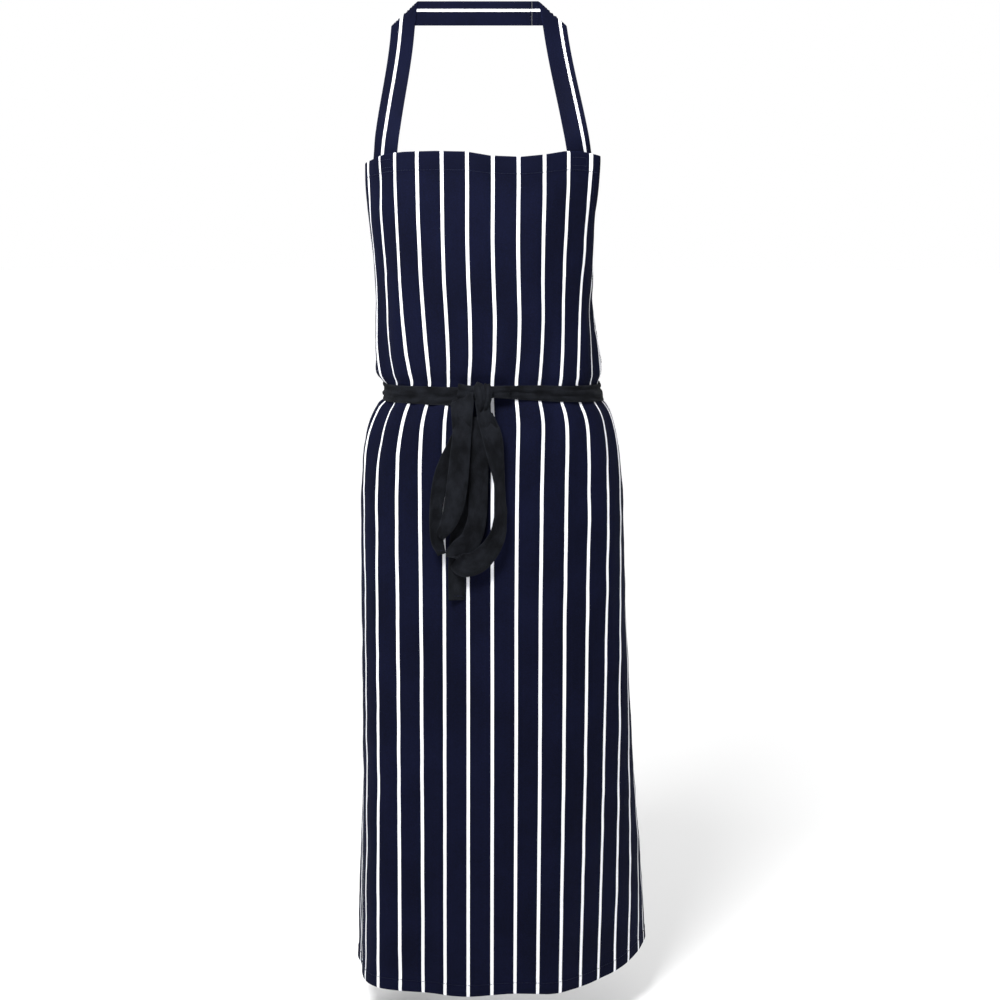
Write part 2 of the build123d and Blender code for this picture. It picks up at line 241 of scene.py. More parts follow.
def half_cut(v):
    """Half the width of the flat cut at a drop."""
    part = np.clip(v / ARMHOLE_DROP, 0, 1)
    return HALF_CUT - (HALF_CUT - HALF_BIB) * np.sqrt(1 - part * part)


def waves(a, b, seed, count, short, long):
    """A smooth random surface between -1 and 1 with wavelengths from short to long."""
    chance = np.random.default_rng(seed)
    total = np.zeros(np.broadcast(a, b).shape)
    for _ in range(count):
        length = chance.uniform(short, long)
        way = chance.uniform(0, 2 * math.pi)
        phase = chance.uniform(0, 2 * math.pi)
        total += np.sin((a * math.cos(way) + b * math.sin(way)) * 2 * math.pi / length + phase)
    return total / count


TIE_SAG = 5.0  # the tied waist lies this much lower at the sides than in front


def gather_wave(u):
    """The pleats of the gathers: uneven, about 36 mm apart."""
    wander = u + 7 * np.sin(u / 41 + 0.8) + 4 * np.sin(u / 23 + 2.1)
    return np.sin(2 * math.pi * wander / 37 + 0.9)


def folds(u, v):
    """How far the cloth stands out from the form."""
    side = ease(np.abs(u), 40, 190)
    calm = 1 - 0.65 * ease(u, 95, 135)
    at_tie = v - TIE_SAG * ease(np.abs(u), 55, 140)
    height = bump(at_tie, 120, 242, 246, 252) * (1.6 + 2.4 * side) * calm
    height = height + bump(at_tie, 268, 276, 288, 400) * (1.5 + 2.2 * side) * calm
    pressed = bump(at_tie, 246, 252, 268, 274) * 0.5
    gathers = (height + pressed) * (gather_wave(u) + 0.35)
    slack = bump(at_tie, 150, 226, 238, 250) * (2.2 + 1.5 * side * calm)
    slack = slack + bump(at_tie, 270, 282, 296, 380) * 1.6

    soft = 1.3 * np.sin(2 * math.pi * u / 74 + 1.1 + v / 260) * bump(v, -20, 40, 170, 230)
    skirt = ease(v, 300, 620)
    long_folds = (1.9 + 1.8 * ease(v, 620, 960)) * np.sin(2 * math.pi * u / 112 + 0.5 + v / 900)
    long_folds = long_folds * skirt * (1 - 0.7 * ease(u, 90, 150))
    left_folds = ease(v, 420, 900) * ease(-u, 150, 230) * 3.0 * np.sin(2 * math.pi * u / 78 + 1.0)
    crumple = 1.1 * waves(u, v, 11, 9, 38, 95) + 0.3 * waves(u, v, 12, 9, 14, 34)

    edge_gap = half_cut(v) - np.abs(u)
    free_edge = bump(v, 60, 150, 236, 256)
    right_ear = free_edge * ease(edge_gap, 46, 2) * (u > 0) * (0.2 + 1.2 * np.sin(v / 17))
    left_ear = free_edge * ease(edge_gap, 40, 2) * (u < 0) * (0.6 + 2.0 * np.sin(v / 24 + 1))
    top_curl = ease(v, 70, 0) * ease(edge_gap, 22, 0) * (3.0 + 3.5 * (u > 0))
    return (
        0.4 + gathers + slack + soft + long_folds + left_folds + crumple
        + right_ear + left_ear + top_curl
    )


# The skirt's right side swings out and back towards its hem: after u, how far back
# and how far up the hem goes there.
FLARE_LEVELS = np.array([
    (-360, 0, -5), (-150, 0, -5), (-115, 0, -1.5), (-85, 0, 0), (60, 0, 0), (90, 4, -0.5), (112, 10, -1.5),
    (140, 25, -4), (168, 37, -3.5), (196, 48, -1.5), (224, 57, 1.5), (252, 63, 6), (290, 64, 9), (360, 42, 9),
], float)
FLARE_U, (FLARE_BACK, FLARE_UP) = smoothed(FLARE_LEVELS, U_STEP, 9.0)
FLARE_DROPS = (540, 960)
FLARE_OUT = 0.09

# The bib's top edge hangs from the two strap ends and dips between them.
TOP_EDGE_ARC = (-200, -172, -150, -122, -96, -60, -26, 0, 34, 60, 84, 108, 128, 150)
TOP_EDGE_LIFT = (-9, -8, -4, 2.0, 4.0, 4.6, 3.8, -0.5, -1.8, 0.8, 4.6, 4.6, 0.5, -6)


def lift(u, v):
    """How far the cloth is raised or lowered near its top edge and its corners."""
    arc = arc_of(u, np.maximum(v, 0))
    top = np.interp(arc, TOP_EDGE_ARC, TOP_EDGE_LIFT) * np.exp(-np.maximum(v, 0) / 60)
    flare = np.interp(u, FLARE_U, FLARE_UP) * ease(v, *FLARE_DROPS)
    hem = ease(v, 760, 966) * 0.8 * np.sin(u / 37 + 0.6)
    return top + flare + hem


def on_cloth(u, v):
    """Points of the cloth's middle surface."""
    u, v = np.broadcast_arrays(np.asarray(u, float), np.asarray(v, float))
    points = on_form(v, arc_of(u, v), folds(u, v))
    back = np.interp(u, FLARE_U, FLARE_BACK) * ease(v, *FLARE_DROPS)
    points[..., 0] += FLARE_OUT * back
    points[..., 1] += back
    points[..., 2] += lift(u, v)
    return points


# ------------------------------------------------------------------------ mesh making
def unit(vectors):
    return vectors / (np.linalg.norm(vectors, axis=-1, keepdims=True) + 1e-12)


def grid_normals(grid):
    down = np.gradient(grid, axis=0)
    across = np.gradient(grid, axis=1)
    return unit(np.cross(down, across))


def grid_faces(rows, columns, start=0):
    r, c = np.meshgrid(np.arange(rows - 1), np.arange(columns - 1), indexing="ij")
    first = start + r * columns + c
    return np.stack([first, first + columns, first + columns + 1, first + 1], -1).reshape(-1, 4)


def closed_faces(rows, columns):
    """Faces of two grids, one behind the other, joined all round their rims."""
    count = rows * columns
    front = grid_faces(rows, columns)
    back = grid_faces(rows, columns, count)[:, ::-1]
    top = np.arange(columns)
    bottom = top + (rows - 1) * columns
    left = np.arange(rows) * columns
    right = left + columns - 1
    rims = []
    for line in (top, right, bottom[::-1], left[::-1]):
        a, b = line[:-1], line[1:]
        rims.append(np.stack([a, b, b + count, a + count], -1))
    return np.concatenate([front, back, *rims])


def add_mesh(name, points, faces, material, cut=None):
    """A smooth mesh object. points are in millimetres, cut is kept in metres."""
    first = points[faces[:, 0]]
    cross = np.cross(points[faces[:, 1]] - first, points[faces[:, 2]] - first)
    if (first * cross).sum() < 0:
        faces = faces[:, ::-1]
    mesh = bpy.data.meshes.new(name)
    mesh.from_pydata((points * MM).tolist(), [], faces.tolist())
    mesh.polygons.foreach_set("use_smooth", [True] * len(mesh.polygons))
    if cut is not None:
        layer = mesh.attributes.new("cut", "FLOAT_VECTOR", "POINT")
        layer.data.foreach_set("vector", (cut * MM).ravel())
    mesh.materials.append(material)
    mesh.update()
    piece = bpy.data.objects.new(name, mesh)
    bpy.context.scene.collection.objects.link(piece)
    return piece


def layered(grid, half_thickness):
    """Front and back points of a sheet round its middle surface."""
    normals = grid_normals(grid)
    thick = np.asarray(half_thickness, float)[..., None] * np.ones(grid.shape[:2] + (1,))
    return np.concatenate([(grid + normals * thick).reshape(-1, 3), (grid - normals * thick).reshape(-1, 3)])


def add_sheet(name, grid, half_thickness, material, cut_front, cut_back=None):
    cut_back = cut_front if cut_back is None else cut_back
    cut = np.concatenate([cut_front.reshape(-1, 3), cut_back.reshape(-1, 3)])
    faces = closed_faces(*grid.shape[:2])
    return add_mesh(name, layered(grid, half_thickness), faces, material, cut)


# --------------------------------------------------------------------------- materials
def srgb(red, green, blue):
    """Linear colour from an eight-bit screen colour."""
    def channel(value):
        value /= 255
        return value / 12.92 if value <= 0.04045 else ((value + 0.055) / 1.055) ** 2.4
    return channel(red), channel(green), channel(blue), 1.0


class Nodes:
    """Short ways to add and join shader nodes."""

    def __init__(self, name):
        self.material = bpy.data.materials.new(name)
        self.material.use_nodes = True
        self.tree = self.material.node_tree
        self.shader = self.tree.nodes["Principled BSDF"]

    def add(self, kind, **settings):
        node = self.tree.nodes.new(kind)
        for key, value in settings.items():
            setattr(node, key, value)
        return node

    def put(self, socket, value):
        if isinstance(value, bpy.types.NodeSocket):
            self.tree.links.new(value, socket)
        else:
            socket.default_value = value

    def math(self, operation, a, b=0.0, c=0.0):
        node = self.add("ShaderNodeMath", operation=operation)
        for socket, value in zip(node.inputs, (a, b, c)):
            self.put(socket, value)
        return node.outputs[0]

    def ramp(self, value, low, high, out_low=0.0, out_high=1.0):
        node = self.add("ShaderNodeMapRange", interpolation_type="SMOOTHSTEP")
        for socket, part in zip(node.inputs, (value, low, high, out_low, out_high)):
            self.put(socket, part)
        return node.outputs[0]

    def noise(self, vector, scale, detail=3.0):
        node = self.add("ShaderNodeTexNoise")
        self.put(node.inputs["Vector"], vector)
        self.put(node.inputs["Scale"], scale)
        self.put(node.inputs["Detail"], detail)
        return node.outputs["Fac"]

    def mix(self, factor, a, b, blend="MIX"):
        node = self.add("ShaderNodeMix", data_type="RGBA", blend_type=blend)
        self.put(node.inputs[0], factor)
        self.put(node.inputs[6], a)
        self.put(node.inputs[7], b)
        return node.outputs[2]

    def cut(self):
        node = self.add("ShaderNodeAttribute", attribute_name="cut")
        split = self.add("ShaderNodeSeparateXYZ")
        self.put(split.inputs[0], node.outputs["Vector"])
        return node.outputs["Vector"], split.outputs[0], split.outputs[1], split.outputs[2]

    def finish(self, colour, height, bump_size, roughness, sheen, sheen_colour):
        bump_node = self.add("ShaderNodeBump")
        bump_node.inputs["Strength"].default_value = 1.0
        bump_node.inputs["Distance"].default_value = bump_size * MM
        self.put(bump_node.inputs["Height"], height)
        self.put(self.shader.inputs["Base Color"], colour)
        self.put(self.shader.inputs["Roughness"], roughness)
        self.put(self.shader.inputs["Normal"], bump_node.outputs[0])
        self.shader.inputs["Specular IOR Level"].default_value = 0.025
        self.shader.inputs["Sheen Weight"].default_value = sheen
        self.shader.inputs["Sheen Roughness"].default_value = 0.5
        self.shader.inputs["Sheen Tint"].default_value = sheen_colour
        return self.material


NAVY = srgb(9, 11, 25)
NAVY_LIGHT = srgb(20, 24, 51)
STRIPE_WHITE = srgb(243, 244, 249)
TWILL_PITCH = 0.62


def striped_cloth(name, stripe_half):
    """Navy twill with a white stripe every 28 mm, the stripe woven in lengthwise."""
    n = Nodes(name)
    cut, u, v, edge = n.cut()
    ragged = n.noise(cut, 2600.0, 1.0)
    from_stripe = n.math("PINGPONG", u, STRIPE_PITCH / 2 * MM)
    from_stripe = n.math("MULTIPLY_ADD", ragged, 0.45 * MM, from_stripe)
    middle = (stripe_half + 0.2) * MM
    stripe = n.ramp(from_stripe, middle + 0.22 * MM, middle - 0.22 * MM)

    turns = 2 * math.pi / (TWILL_PITCH * MM)
    rib = n.math("SINE", n.math("MULTIPLY", n.math("ADD", u, n.math("MULTIPLY", v, 0.62)), turns))
    yarn = n.math("SINE", n.math("MULTIPLY", v, turns * 2.1))
    weave = n.math("MULTIPLY_ADD", yarn, 0.35, rib)
    melange = n.noise(cut, 900.0, 4.0)
    # Large soft patches, partly random tone of the cloth and partly painted light and shade: lighter and darker navy
    # where folds would catch or lose the light.
    tone_and_fold_light_patches = n.noise(cut, 14.0, 3.0)

    light = n.math("ADD", n.ramp(melange, 0.3, 0.75, 0.0, 0.34), n.ramp(tone_and_fold_light_patches, 0.3, 0.7, -0.06, 0.16))
    light = n.math("MULTIPLY_ADD", weave, 0.05, light)
    worn = n.math("MULTIPLY", n.ramp(edge, 1.3 * MM, 0.0), n.ramp(melange, 0.4, 0.62))
    light = n.math("MULTIPLY_ADD", worn, 0.8, light)
    navy = n.mix(light, NAVY, NAVY_LIGHT)
    white = n.mix(n.ramp(melange, 0.25, 0.8, 0.0, 0.5), STRIPE_WHITE, srgb(216, 219, 229))
    colour = n.mix(stripe, navy, white)

    height = n.math("MULTIPLY_ADD", weave, 0.22, n.math("MULTIPLY", melange, 0.5))
    height = n.math("MULTIPLY_ADD", stripe, 0.45, height)
    roughness = n.ramp(melange, 0.2, 0.8, 0.72, 0.9)
    return n.finish(colour, height, 0.12, roughness, 0.02, srgb(120, 135, 205))


def tie_cloth(name):
    """Almost black cotton tape, woven as a fine herringbone."""
    n = Nodes(name)
    cut, u, v, edge = n.cut()
    turns = 2 * math.pi / (0.7 * MM)
    zigzag = n.math("ADD", n.math("PINGPONG", u, 2.6 * MM), v)
    rib = n.math("SINE", n.math("MULTIPLY", zigzag, turns))
    fibre = n.noise(cut, 1500.0, 4.0)
    # Lighter in soft random patches.
    patchy_tone = n.noise(cut, 60.0, 4.0)
    light = n.math("MULTIPLY_ADD", rib, 0.09, n.ramp(patchy_tone, 0.3, 0.75, 0.0, 0.6))
    light = n.math("MULTIPLY_ADD", n.ramp(fibre, 0.35, 0.7), 0.3, light)
    light = n.math("MULTIPLY_ADD", n.ramp(edge, 1.2 * MM, 0.0), 0.35, light)
    colour = n.mix(light, srgb(9, 10, 12), srgb(29, 31, 36))
    height = n.math("MULTIPLY_ADD", rib, 0.35, n.math("MULTIPLY", fibre, 0.7))
    roughness = n.ramp(fibre, 0.2, 0.8, 0.7, 0.92)
    return n.finish(colour, height, 0.16, roughness, 0.03, srgb(170, 175, 190))


def sewing_thread(name):
    """Navy polyester thread with its twist."""
    n = Nodes(name)
    cut, u, v, edge = n.cut()
    turns = 2 * math.pi / (0.45 * MM)
    twist = n.math("SINE", n.math("MULTIPLY", n.math("ADD", u, v), turns))
    fuzz = n.noise(cut, 2400.0, 2.0)
    light = n.math("MULTIPLY_ADD", twist, 0.3, n.ramp(fuzz, 0.3, 0.7))
    colour = n.mix(light, srgb(9, 10, 24), srgb(24, 27, 52))
    return n.finish(colour, n.math("ADD", twist, fuzz), 0.1, n.ramp(fuzz, 0.2, 0.8, 0.45, 0.6), 0.15, srgb(160, 170, 210))


PANEL = striped_cloth("panel_twill", STRIPE_HALF)
STRAP = striped_cloth("strap_twill", STRAP_STRIPE_HALF)
TAPE = tie_cloth("tie_herringbone")
THREAD = sewing_thread("navy_thread")


# ----------------------------------------------------------------------------- panel
HEM_STEPS = (0.0, 0.5, 1.6, 4.0, 7.0, 8.6, 9.0, 9.4, 10.4, 11.2)
HEM_ZONE = HEM_STEPS[-1]


def hem_thickness(gap, width):
    """Half thickness near an edge: three layers in the hem, pinched at its stitching."""
    rolled = np.sqrt(np.clip(1 - (1 - np.clip(gap / 1.4, 0, 1)) ** 2, 0.05, 1))
    hem = HALF_CLOTH * (1 + 1.15 * ease(gap, width + 0.8, width - 0.2))
    pinch = 1 - 0.45 * np.exp(-(((gap - (width - 1.0)) / 0.7) ** 2))
    return hem * np.where(gap < width, pinch, 1) * rolled


def panel_rows():
    """Edge drops of the panel's rows: even angles along the armhole, then the skirt."""
    top = [0.0, 0.5, 1.6, 5.0, 10.0, 15.0, 18.2, 19.0, 19.8, 21.0]
    turns = np.radians(np.arange(5.6, 84.0, 1.45))
    armhole = ARMHOLE_DROP * np.sin(turns)
    waist = np.arange(ARMHOLE_DROP, 400, 3.2)
    skirt = np.arange(waist[-1] + 4.6, CUT_LENGTH - BOTTOM_HEM - 4, 5.2)
    low = CUT_LENGTH - np.array([BOTTOM_HEM + 1.2, BOTTOM_HEM, BOTTOM_HEM - 1.0, BOTTOM_HEM - 1.8, 10, 5.5, 1.6, 0.5, 0])
    return np.concatenate([top, armhole, waist, skirt, low])


def panel_grid(inner_columns=176):
    """u, v and distance to the nearest edge for each point of the panel's grid."""
    rows = panel_rows()
    angle = np.arcsin(np.clip(rows / ARMHOLE_DROP, 0, 1))
    rise, run = ARMHOLE_DROP * np.cos(angle), (HALF_CUT - HALF_BIB) * np.sin(angle)
    length = np.hypot(rise, run)
    inward_u, inward_v = rise / length, run / length
    below = rows >= ARMHOLE_DROP
    fade = ease(rows, ARMHOLE_DROP + 60, ARMHOLE_DROP)
    inward_u = np.where(below, 1.0, inward_u)
    inward_v = np.where(below, fade, inward_v * ease(rows, 0, 30))
    edge_u = half_cut(rows)
    inner_u = np.minimum(edge_u - HEM_ZONE * inward_u, HALF_CUT - HEM_ZONE)
    inner_v = rows + HEM_ZONE * inward_v
    steps = np.array(HEM_STEPS) / HEM_ZONE
    side_u = edge_u[:, None] + (inner_u - edge_u)[:, None] * steps
    side_v = rows[:, None] + (inner_v - rows)[:, None] * steps
    across = np.linspace(-1, 1, inner_columns + 2)[1:-1]
    u = np.concatenate([-side_u, inner_u[:, None] * across, side_u[:, ::-1]], axis=1)
    v = np.concatenate([side_v, inner_v[:, None] * np.ones(inner_columns), side_v[:, ::-1]], axis=1)
    gap_side = np.concatenate([
        np.tile(HEM_STEPS, (len(rows), 1)), np.full((len(rows), inner_columns), HEM_ZONE + 5),
        np.tile(HEM_STEPS[::-1], (len(rows), 1)),
    ], axis=1)
    return u, v, gap_side


def make_panel():
    u, v, side_gap = panel_grid()
    top_gap, low_gap = v, CUT_LENGTH - v
    half = np.maximum(hem_thickness(side_gap, SIDE_HEM), HALF_CLOTH * (side_gap > SIDE_HEM))
    half_top, half_low = hem_thickness(top_gap, TOP_HEM), hem_thickness(low_gap, BOTTOM_HEM)
    half = np.where(top_gap < TOP_HEM + 1, np.minimum(np.maximum(half, half_top), 0.9), half)
    half = np.where(low_gap < BOTTOM_HEM + 1, np.minimum(np.maximum(half, half_low), 0.9), half)
    rim = np.minimum(np.minimum(side_gap, top_gap), low_gap)
    half = half * np.sqrt(np.clip(1 - (1 - np.clip(rim / 1.4, 0, 1)) ** 2, 0.06, 1))
    cut = np.stack([u, v, rim], axis=-1)
    return add_sheet("apron_panel", on_cloth(u, v), half, PANEL, cut)


panel = make_panel()
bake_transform(panel)
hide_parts("bib_panel", "skirt_panel")


# ---------------------------------------------------------------------------- stitches
STITCH_LENGTH = 2.7
STITCH_PITCH = 3.3
THREAD_RADIUS = 0.27


def capsule():
    """One stitch lying along x: points and faces."""
    stations = ((-0.5, 0.25), (-0.42, 0.75), (-0.2, 1.0), (0.2, 1.0), (0.42, 0.75), (0.5, 0.25))
    sides = 6
    points = []
    for x, radius in stations:
        for k in range(sides):
            turn = 2 * math.pi * k / sides
            points.append((x * STITCH_LENGTH, radius * math.cos(turn), radius * math.sin(turn)))
    faces = []
    for r in range(len(stations) - 1):
        for k in range(sides):
            a, b = r * sides + k, r * sides + (k + 1) % sides
            faces.append((a, b, b + sides, a + sides))
    return np.array(points) * (1, THREAD_RADIUS, THREAD_RADIUS), np.array(faces)


def make_stitches(name, centres, along, normals):
    """A row of stitches at the given points."""
    shape, faces = capsule()
    side = unit(np.cross(normals, along))
    along = unit(np.cross(side, normals))
    points = (
        centres[:, None]
        + along[:, None] * shape[None, :, 0:1]
        + side[:, None] * shape[None, :, 1:2]
        + normals[:, None] * shape[None, :, 2:3]
    )
    count = len(shape)
    offsets = np.arange(len(centres))[:, None, None] * count
    cut = np.tile(shape, (len(centres), 1))
    return add_mesh(name, points.reshape(-1, 3), (faces[None] + offsets).reshape(-1, 4), THREAD, cut)


def cloth_stitches(name, u, v, height):
    """Stitches that follow a line on the cloth's outer face."""
    fine = on_cloth(u, v)
    length = np.concatenate([[0], np.cumsum(np.linalg.norm(np.diff(fine, axis=0), axis=1))])
    places = np.arange(STITCH_PITCH / 2, length[-1], STITCH_PITCH)
    su, sv = np.interp(places, length, u), np.interp(places, length, v)
    step = 0.6
    across = on_cloth(su + step, sv) - on_cloth(su - step, sv)
    down = on_cloth(su, sv + step) - on_cloth(su, sv - step)
    normals = unit(np.cross(down, across))
    centre = on_cloth(su, sv)
    du, dv = np.interp(places + 1, length, u) - su, np.interp(places + 1, length, v) - sv
    along = unit(across * du[:, None] + down * dv[:, None])
    return make_stitches(name, centre + normals * height, along, normals)


def add_seam(piece, node, body=None):
    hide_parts(node)
    if body is None:
        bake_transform(piece)
    else:
        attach(piece, body)


ON_HEM = 0.72


def side_line(side, first, last, inset):
    """u and v along a line that stays a hem's width inside a side edge."""
    edge_v = np.linspace(first, last, 400)
    angle = np.arcsin(np.clip(edge_v / ARMHOLE_DROP, 0, 1))
    rise, run = ARMHOLE_DROP * np.cos(angle), (HALF_CUT - HALF_BIB) * np.sin(angle)
    length = np.hypot(rise, run)
    inside = edge_v < ARMHOLE_DROP
    u = half_cut(edge_v) - inset * np.where(inside, rise / length, 1)
    v = edge_v + inset * np.where(inside, run / length, 0)
    return side * u, v


top_reach = HALF_BIB - 3
bottom_reach = HALF_CUT - 3
top_line = np.linspace(-top_reach, top_reach, 300)
bottom_line = np.linspace(-bottom_reach, bottom_reach, 500)
add_seam(cloth_stitches("top_hem_stitches", top_line, np.full(300, TOP_HEM - 1), ON_HEM), "top_hem_seam", "bib")
add_seam(
    cloth_stitches("bottom_hem_stitches", bottom_line, np.full(500, CUT_LENGTH - BOTTOM_HEM + 1), ON_HEM),
    "bottom_hem_seam", "skirt",
)
for name, side in (("left", -1), ("right", 1)):
    u, v = side_line(side, 3, 0.985 * ARMHOLE_DROP, SIDE_HEM - 1)
    add_seam(cloth_stitches(f"armhole_stitches_{name}", u, v, ON_HEM), f"armhole_seam_{name}", "bib")
    u, v = side_line(side, ARMHOLE_DROP + 8, CUT_LENGTH - 3, SIDE_HEM - 1)
    add_seam(cloth_stitches(f"side_stitches_{name}", u, v, ON_HEM), f"side_seam_{name}")


# --------------------------------------------------------------------------- neck strap
STRAP_WIDTH = 27.4
STRAP_HALF_THICK = 0.65
BAR_Z = 2.5
BAR_JOIN_X = 48.0
FOLD_RADIUS = 1.0


TOP_FRONT = np.abs(ARCS) < 165
TOP_FORM_ARCS = ARCS[TOP_FRONT]
TOP_FORM_X = FORM_X[int((0 - DROPS[0]) / DROP_STEP)][TOP_FRONT]


def strap_half(side, foot, head, stripe_leg, stripe_bar):
    """One leg of the strap, its mitred fold and its part of the nape bar, in one piece.

    foot and head are (x, z) on the leg's middle line; the sewn end runs on below foot.
    """
    foot, head = np.array(foot, float), np.array(head, float)
    along = (head - foot) / np.linalg.norm(head - foot)
    across = np.array([along[1], -along[0]])
    turn_x = head[0] + (BAR_Z - head[1]) * along[0] / along[1]
    turn = np.array([turn_x, BAR_Z])
    angle = math.acos(-side * along[0]) / 2
    normal = np.array([side * math.sin(angle), math.cos(angle)])

    leg = (BAR_Z - foot[1]) / along[1]
    bar = abs(BAR_JOIN_X - turn_x)
    rows = np.concatenate([
        np.linspace(-leg - 16, -leg + 8, 13), np.linspace(-leg + 8, -26, 46)[1:],
        np.linspace(-26, 26, 74)[1:], np.linspace(26, bar + 2, 40)[1:],
    ])
    columns = np.array([-1, -0.975, -0.9, -0.78, -0.62, -0.45, -0.25, 0, 0.25, 0.45, 0.62, 0.78, 0.9, 0.975, 1])
    s, q = np.meshgrid(rows, columns, indexing="ij")
    b = q * STRAP_WIDTH / 2
    flat = turn + along * s[..., None] + across * b[..., None]
    past = (flat - turn) @ normal
    half_turn = math.pi * FOLD_RADIUS
    part = np.clip(past, 0, half_turn) / FOLD_RADIUS
    moved = np.where(past > 0, FOLD_RADIUS * np.sin(part) - past, 0)
    moved = np.where(past > half_turn, -2 * past + half_turn, moved)
    x = flat[..., 0] + moved * normal[0]
    z = flat[..., 1] + moved * normal[1]
    back = np.where(past > 0, FOLD_RADIUS * (1 - np.cos(part)), 0)

    lean = ease(z, foot[1], BAR_Z - 22)
    worn = on_form(np.maximum(BIB_TOP_Z - z, 0), np.interp(x, TOP_FORM_X, TOP_FORM_ARCS), -2.4, z)
    middle_x = foot[0] + (z - foot[1]) * along[0] / along[1]
    foot_y = on_form(0, strap_arc(side), -2.4)[1]
    y = foot_y * (1 - lean) + (x - middle_x) * STRAP_SLOPE[side] * (1 - lean) + back
    at_foot = ease(z, BIB_TOP_Z + 34, BIB_TOP_Z + 2)
    y = y + (worn[..., 1] - y) * at_foot
    creases = 0.32 * waves(s, b * 2.2, 31 + side, 7, 26, 70) * ease(np.abs(past), 1, 14)
    grid = np.stack([x, y + creases, z], axis=-1)
    thick = STRAP_HALF_THICK * np.sqrt(np.clip(1 - np.abs(q) ** 10, 0.06, 1))
    cut_leg = np.stack([b - stripe_leg, s, STRAP_WIDTH / 2 - np.abs(b)], axis=-1)
    cut_bar = np.stack([b - stripe_bar, s, STRAP_WIDTH / 2 - np.abs(b)], axis=-1)
    return grid, thick, cut_leg, cut_bar


STRAP_SLOPE = {-1: -0.40, 1: 0.22}


def strap_arc(side):
    return -123.0 if side < 0 else 103.0


def make_strap():
    grid, thick, cut_leg, cut_bar = strap_half(-1, (-116.0, -157.0), (-101.5, -13.0), -2.8, 3.4)
    left = add_sheet("strap_left", grid, thick, STRAP, cut_bar, cut_leg)
    grid, thick, cut_leg, cut_bar = strap_half(1, (98.5, -157.0), (75.0, -13.0), 6.5, -3.4)
    right = add_sheet("strap_right", grid, thick, STRAP, cut_bar, cut_leg)
    return left, right


strap_left, strap_right = make_strap()
for piece, nodes in ((strap_left, ("neck_strap", "strap_end_left")), (strap_right, ("strap_end_right",))):
    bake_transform(piece)
    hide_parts(*nodes)


def straight_stitches(name, ends, normal):
    """Rows of stitches between pairs of points."""
    centres, along = [], []
    for a, b in ends:
        a, b = np.array(a, float), np.array(b, float)
        count = max(2, int(np.linalg.norm(b - a) / STITCH_PITCH))
        for k in range(count):
            centres.append(a + (b - a) * (k + 0.5) / count)
            along.append(b - a)
    centres = np.array(centres)
    return make_stitches(name, centres, unit(np.array(along)), np.tile(normal, (len(centres), 1)))


bar_front = 2 * FOLD_RADIUS - STRAP_HALF_THICK - 0.3
nape_ends = [((x, bar_front, BAR_Z - 11), (x, bar_front, BAR_Z + 11)) for x in (BAR_JOIN_X - 2, BAR_JOIN_X + 6)]
add_seam(straight_stitches("nape_join_stitches", nape_ends, (0.0, -1.0, 0.0)), "neck_strap_seam", "strap")
for name, side in (("left", -1), ("right", 1)):
    arc = strap_arc(side)
    u_values = np.interp([arc - 10, arc + 10], ARC_TABLE[10], TABLE_U)
    u = np.linspace(u_values[0], u_values[1], 60)
    tack = np.concatenate([u, u[::-1]])
    drop = np.concatenate([np.full(60, 6.0), np.full(60, 14.5)])
    add_seam(cloth_stitches(f"strap_bartack_{name}_stitches", tack, drop, ON_HEM), f"strap_bartack_{name}", "bib")


# --------------------------------------------------------------------------- tie tapes
TAPE_HALF_THICK = 0.55
TAPE_COLUMNS = np.array([-1, -0.97, -0.88, -0.72, -0.54, -0.36, -0.18, 0, 0.18, 0.36, 0.54, 0.72, 0.88, 0.97, 1])


def through(stations, steps):
    """A smooth table through given stations, evenly spaced along the path."""
    stations = np.array(stations, float)
    gaps = np.linalg.norm(np.diff(stations[:, :3], axis=0), axis=1)
    knots = np.concatenate([[0], np.cumsum(gaps)])
    slopes = np.gradient(stations, knots, axis=0)
    places = np.linspace(0, knots[-1], steps)
    k = np.clip(np.searchsorted(knots, places, side="right") - 1, 0, len(knots) - 2)
    span = (knots[k + 1] - knots[k])[:, None]
    t = ((places - knots[k])[:, None]) / span
    a, b = stations[k], stations[k + 1]
    ma, mb = slopes[k] * span, slopes[k + 1] * span
    return (2 * t**3 - 3 * t**2 + 1) * a + (t**3 - 2 * t**2 + t) * ma + (3 * t**2 - 2 * t**3) * b + (t**3 - t**2) * mb


def tape_grid(stations, steps, seed, crumple=0.5, curl=0.0, rope=0.0):
    """Middle surface of a tape. A station is x, y, z, side x, side y, side z, width."""
    table = through(stations, steps)
    centre, side, width = table[:, :3], table[:, 3:6], table[:, 6]
    along = unit(np.gradient(centre, axis=0))
    side = unit(side - along * (side * along).sum(axis=1, keepdims=True))
    normal = np.cross(along, side)
    run = np.concatenate([[0], np.cumsum(np.linalg.norm(np.diff(centre, axis=0), axis=1))])
    s, q = np.meshgrid(run, TAPE_COLUMNS, indexing="ij")
    half = width[:, None] / 2
    b = q * half
    push = crumple * waves(s, b * 2.0, seed, 8, 16, 52) + crumple * 0.5 * waves(s, b * 2.0, seed + 1, 6, 7, 16)
    push = push + curl * (q * q - 0.4) + rope * np.sin(q * 5.5 + s / 19 + seed) * (1 - q * q)
    tuck = 0.05 * half * np.sin(s / 23 + seed) * q
    grid = centre[:, None] + side[:, None] * (b - tuck)[..., None] + normal[:, None] * push[..., None]
    cut = np.stack([b, s, half - np.abs(b)], axis=-1)
    thick = TAPE_HALF_THICK * np.sqrt(np.clip(1 - np.abs(q) ** 10, 0.08, 1))
    return grid, thick, cut


def add_tape(name, body, node, stations, steps, seed, flat_length, **creases):
    grid, thick, cut = tape_grid(stations, steps, seed, **creases)
    piece = add_sheet(name, grid, thick, TAPE, cut)
    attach(piece, body)
    if node:
        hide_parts(node)
    return piece


ROUND = round_at(TIE_DROP)
UNDER, OVER = 2.6, 4.2


